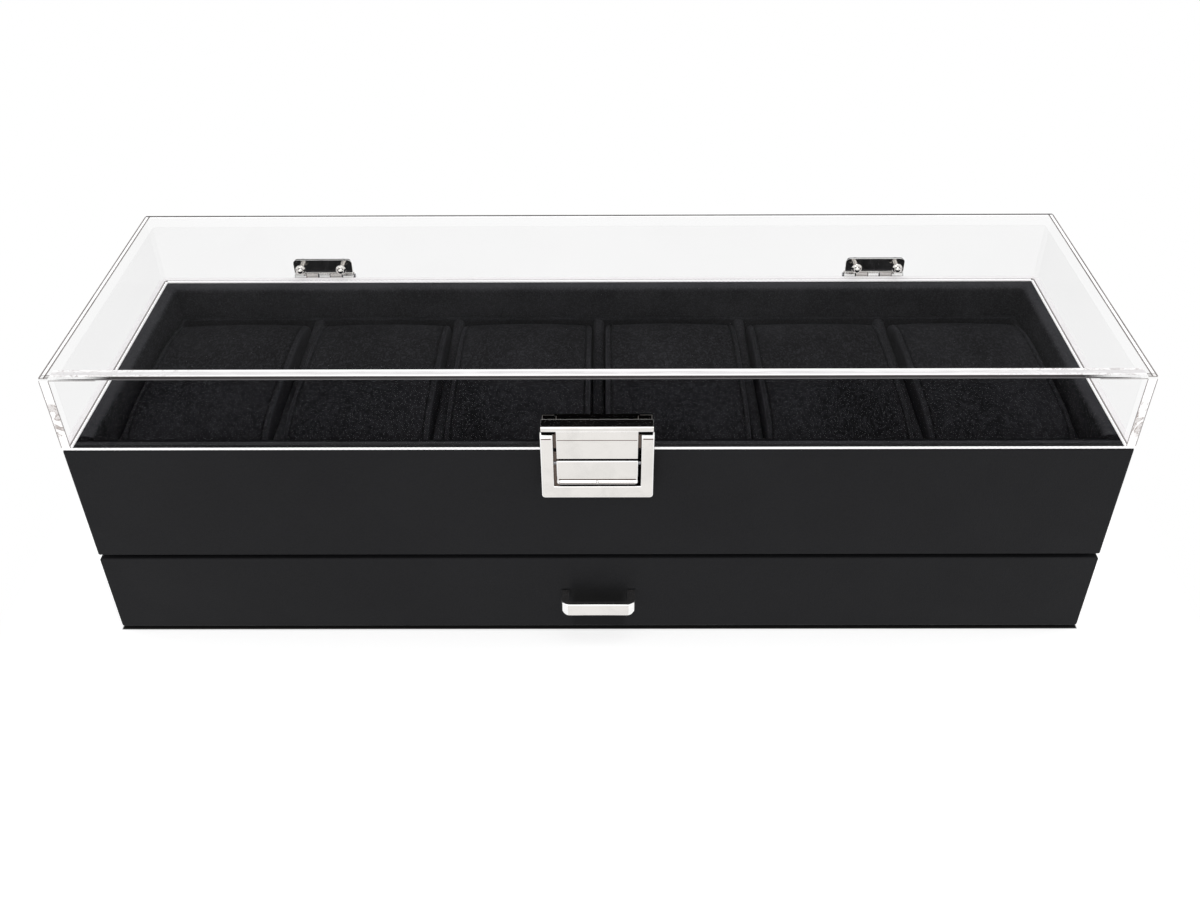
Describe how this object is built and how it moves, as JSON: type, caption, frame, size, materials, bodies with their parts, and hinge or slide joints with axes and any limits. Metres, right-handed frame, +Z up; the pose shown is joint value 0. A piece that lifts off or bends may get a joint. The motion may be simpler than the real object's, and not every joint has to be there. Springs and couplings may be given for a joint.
{
  "type": "watch display case",
  "caption": "Long wrapped case with a row of watch pillows under a hinged clear lid, a front drawer, a press latch and metal fittings.",
  "frame": {"origin": "centre of the case's felt underside, midway between its ends and between its front and rear faces", "axes": "+X along the case to its right end seen from the front, +Y to the rear, +Z up"},
  "size_m": [0.33, 0.1173, 0.1045],
  "materials": {
    "leatherette": "fine-grained smooth black wrap, satin",
    "black_board": "black paper-faced board, matt",
    "suede": "black suede cloth, matt",
    "pillow_suede": "black suede cloth over padding, matt",
    "felt": "black felt, matt",
    "acrylic": "clear polished acrylic",
    "chrome": "bright plated, warm white",
    "spring_steel": "plain steel"
  },
  "bodies": {
    "case": {"base_felt": "felt", "base_board": "black_board", "back_board": "leatherette", "front_board": "leatherette", "left_side": "leatherette", "right_side": "leatherette", "tray_shelf": "black_board", "tray_lining": "suede", "tray_floor_pad": "suede", "insert_frame": "suede", "divider_1": "suede", "divider_2": "suede", "divider_3": "suede", "divider_4": "suede", "divider_5": "suede", "latch_frame": "chrome", "latch_pin": "spring_steel", "latch_spring": "spring_steel", "body_leaf_left": "chrome", "body_leaf_right": "chrome", "hinge_pin_left": "spring_steel", "hinge_pin_right": "spring_steel", "body_screw_1": "chrome", "body_screw_2": "chrome", "body_screw_3": "chrome", "body_screw_4": "chrome"},
    "lid": {"lid_top": "acrylic", "lid_front": "acrylic", "lid_back": "acrylic", "lid_left": "acrylic", "lid_right": "acrylic", "strike_plate": "chrome", "lid_leaf_left": "chrome", "lid_leaf_right": "chrome", "lid_bolt_1": "chrome", "lid_bolt_2": "chrome", "lid_bolt_3": "chrome", "lid_bolt_4": "chrome", "cap_nut_1": "chrome", "cap_nut_2": "chrome", "cap_nut_3": "chrome", "cap_nut_4": "chrome"},
    "drawer": {"drawer_front": "leatherette", "drawer_left": "black_board", "drawer_right": "black_board", "drawer_back": "black_board", "drawer_bottom": "black_board", "drawer_pad": "suede", "drawer_pull": "chrome", "pull_screw_1": "spring_steel", "pull_screw_2": "spring_steel"},
    "catch": {"latch_button": "chrome"},
    "cushion_1": {"pillow_1": "pillow_suede"},
    "cushion_2": {"pillow_2": "pillow_suede"},
    "cushion_3": {"pillow_3": "pillow_suede"},
    "cushion_4": {"pillow_4": "pillow_suede"},
    "cushion_5": {"pillow_5": "pillow_suede"},
    "cushion_6": {"pillow_6": "pillow_suede"}
  },
  "joints": [
    {"name": "lid_hinge", "type": "hinge", "parent": "case", "child": "lid", "pos_m": [0, 0.055, 0.0784], "axis": [-1, 0, 0], "range_deg": [0, 105]},
    {"name": "drawer_slide", "type": "slide", "parent": "case", "child": "drawer", "axis": [0, -1, 0], "range_m": [0, 0.075]},
    {"name": "catch_press", "type": "hinge", "parent": "case", "child": "catch", "pos_m": [0, -0.0561, 0.0753], "axis": [1, 0, 0], "range_deg": [0, 12], "stiffness_Nm_per_rad": 0.02, "springref_deg": -8.59},
    {"name": "cushion_1_lift", "type": "slide", "parent": "case", "child": "cushion_1", "axis": [0, 0, 1], "range_m": [0, 0.025]},
    {"name": "cushion_2_lift", "type": "slide", "parent": "case", "child": "cushion_2", "axis": [0, 0, 1], "range_m": [0, 0.025]},
    {"name": "cushion_3_lift", "type": "slide", "parent": "case", "child": "cushion_3", "axis": [0, 0, 1], "range_m": [0, 0.025]},
    {"name": "cushion_4_lift", "type": "slide", "parent": "case", "child": "cushion_4", "axis": [0, 0, 1], "range_m": [0, 0.025]},
    {"name": "cushion_5_lift", "type": "slide", "parent": "case", "child": "cushion_5", "axis": [0, 0, 1], "range_m": [0, 0.025]},
    {"name": "cushion_6_lift", "type": "slide", "parent": "case", "child": "cushion_6", "axis": [0, 0, 1], "range_m": [0, 0.025]}
  ]
}
